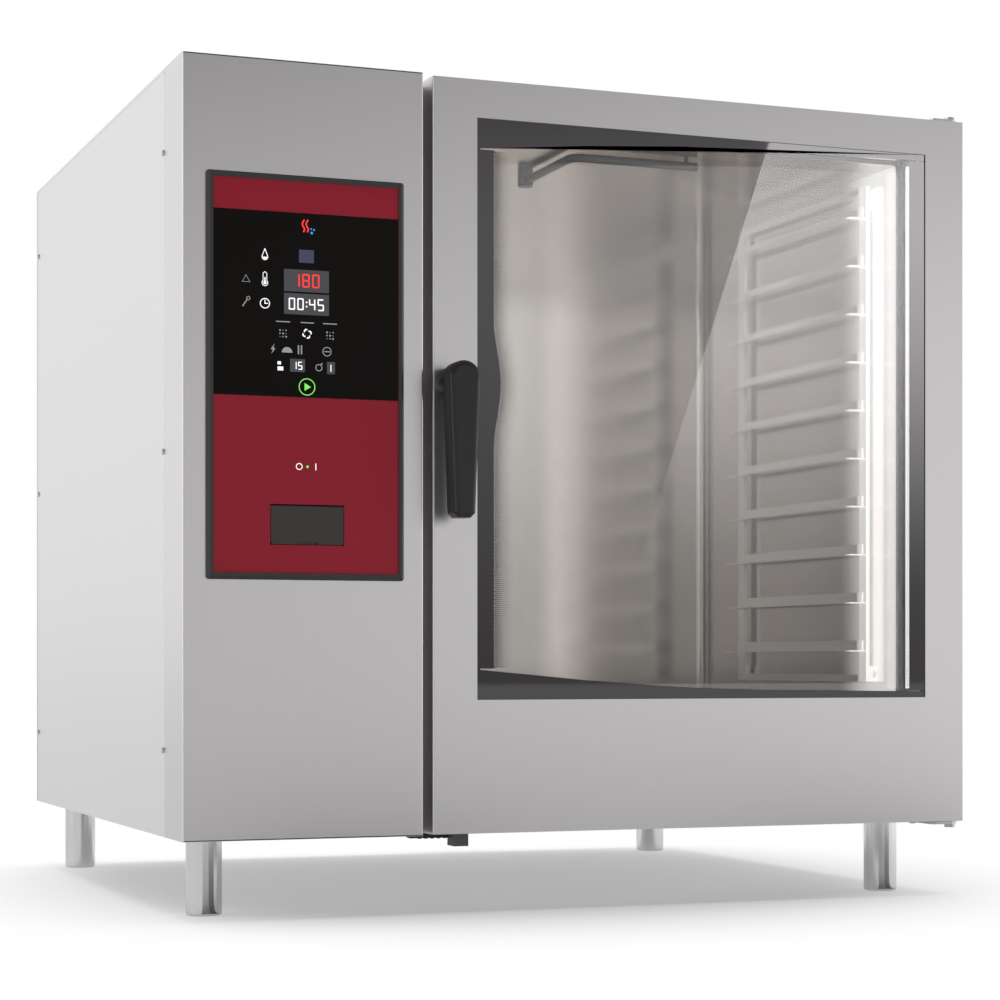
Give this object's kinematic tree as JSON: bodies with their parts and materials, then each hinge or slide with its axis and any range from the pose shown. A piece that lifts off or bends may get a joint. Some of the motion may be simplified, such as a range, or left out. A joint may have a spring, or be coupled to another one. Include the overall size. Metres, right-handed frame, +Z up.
{
  "type": "combi steamer oven",
  "caption": "Floor-legged combi steamer oven with a glazed side-hinged door, drop lever handle, touch control column, tray racks and radial fans.",
  "frame": {"origin": "on the floor, in the middle of the whole outline", "axes": "+X to the right along the front, +Y to the back, +Z up"},
  "size_m": [1.132, 1.097, 1.173],
  "materials": {
    "steel_front": "fine vertical satin brushing",
    "steel_side": "fine satin brushing",
    "steel_door": "fine satin brushing",
    "steel_galv": "dull galvanised",
    "steel_liner": "bright rolled, half mirror",
    "steel_bracket": "satin",
    "rack_steel": "electropolished",
    "pipe_steel": "polished tube",
    "leg_steel": "polished tube",
    "mineral_wool": "loose fibre board",
    "silicone": "soft matte",
    "motor_paint": "semi-gloss enamel",
    "element": "heat-darkened sheath",
    "bezel_plastic": "fine moulded texture",
    "fascia_print": "satin printed film, red and black",
    "module_plastic": "moulded",
    "board": "lacquered circuit board",
    "tray_plastic": "moulded",
    "hose_rubber": "ribbed, matte",
    "brass": "machined",
    "gland_plastic": "moulded",
    "glass_outer": "clear tempered pane with a dark printed border",
    "glass_inner": "clear tempered pane",
    "lamp": "lit white diffuser",
    "handle_plastic": "fine moulded texture",
    "flap_plastic": "fine moulded texture"
  },
  "bodies": {
    "cabinet": {"column_front": "steel_front", "left_side_panel": "steel_side", "right_side_panel": "steel_side", "top_panel": "steel_side", "rear_panel": "steel_side", "base_pan": "steel_galv", "front_frame": "steel_front", "liner_back": "steel_liner", "liner_right": "steel_liner", "liner_left": "steel_liner", "liner_ceiling": "steel_liner", "liner_floor": "steel_liner", "insulation_wrap": "mineral_wool", "door_gasket": "silicone", "baffle_plate": "steel_liner", "fan_motor_upper": "motor_paint", "fan_motor_lower": "motor_paint", "heating_element_upper": "element", "heating_element_lower": "element", "control_bezel": "bezel_plastic", "control_fascia": "fascia_print", "display_module": "module_plastic", "control_board": "board", "usb_socket": "module_plastic", "leg_front_left": "leg_steel", "leg_front_right": "leg_steel", "leg_rear_left": "leg_steel", "leg_rear_right": "leg_steel", "hinge_bracket_upper": "steel_bracket", "hinge_bracket_lower": "steel_bracket", "latch_striker": "steel_bracket", "drip_tray": "tray_plastic", "drip_hose": "hose_rubber", "exhaust_pipe": "pipe_steel", "relief_pipe": "pipe_steel", "drain_pipe": "pipe_steel", "water_valve_cold": "brass", "water_valve_soft": "brass", "cable_gland": "gland_plastic", "contactor_rail": "module_plastic", "wash_pipe": "pipe_steel", "rack_studs": "steel_bracket", "casing_screws": "steel_bracket", "drain_grate": "pipe_steel"},
    "door": {"door_outer_frame": "steel_door", "door_inner_frame": "steel_door", "outer_glass": "glass_outer", "inner_glass": "glass_inner", "led_strip": "lamp"},
    "handle": {"handle_lever": "handle_plastic", "handle_spindle": "steel_bracket"},
    "upper_fan": {"fan_upper": "steel_liner"},
    "lower_fan": {"fan_lower": "steel_liner"},
    "port_cover": {"usb_flap": "flap_plastic"},
    "left_rack": {"rack_left": "rack_steel"},
    "right_rack": {"rack_right": "rack_steel"},
    "front_left_foot": {"foot_front_left": "leg_steel"},
    "front_right_foot": {"foot_front_right": "leg_steel"},
    "rear_left_foot": {"foot_rear_left": "leg_steel"},
    "rear_right_foot": {"foot_rear_right": "leg_steel"}
  },
  "joints": [
    {"name": "door_hinge", "type": "hinge", "parent": "cabinet", "child": "door", "pos_m": [0.555, -0.4635, 0.6], "axis": [0, 0, 1], "range_deg": [0, 180]},
    {"name": "handle_turn", "type": "hinge", "parent": "door", "child": "handle", "pos_m": [-0.208, -0.4845, 0.6936], "axis": [0, -1, 0], "range_deg": [0, 90]},
    {"name": "upper_fan_spin", "type": "hinge", "parent": "cabinet", "child": "upper_fan", "pos_m": [-0.343, -0.0965, 0.845], "axis": [1, 0, 0], "continuous": true},
    {"name": "lower_fan_spin", "type": "hinge", "parent": "cabinet", "child": "lower_fan", "pos_m": [-0.343, -0.0965, 0.455], "axis": [1, 0, 0], "continuous": true},
    {"name": "port_cover_hinge", "type": "hinge", "parent": "cabinet", "child": "port_cover", "pos_m": [-0.404, -0.4947, 0.5258], "axis": [-1, 0, 0], "range_deg": [0, 100]},
    {"name": "left_rack_lift", "type": "slide", "parent": "cabinet", "child": "left_rack", "axis": [0, 0, 1], "range_m": [0, 0.012]},
    {"name": "right_rack_lift", "type": "slide", "parent": "cabinet", "child": "right_rack", "axis": [0, 0, 1], "range_m": [0, 0.012]},
    {"name": "front_left_foot_screw", "type": "slide", "parent": "cabinet", "child": "front_left_foot", "axis": [0, 0, -1], "range_m": [0, 0.025]},
    {"name": "front_right_foot_screw", "type": "slide", "parent": "cabinet", "child": "front_right_foot", "axis": [0, 0, -1], "range_m": [0, 0.025]},
    {"name": "rear_left_foot_screw", "type": "slide", "parent": "cabinet", "child": "rear_left_foot", "axis": [0, 0, -1], "range_m": [0, 0.025]},
    {"name": "rear_right_foot_screw", "type": "slide", "parent": "cabinet", "child": "rear_right_foot", "axis": [0, 0, -1], "range_m": [0, 0.025]}
  ]
}
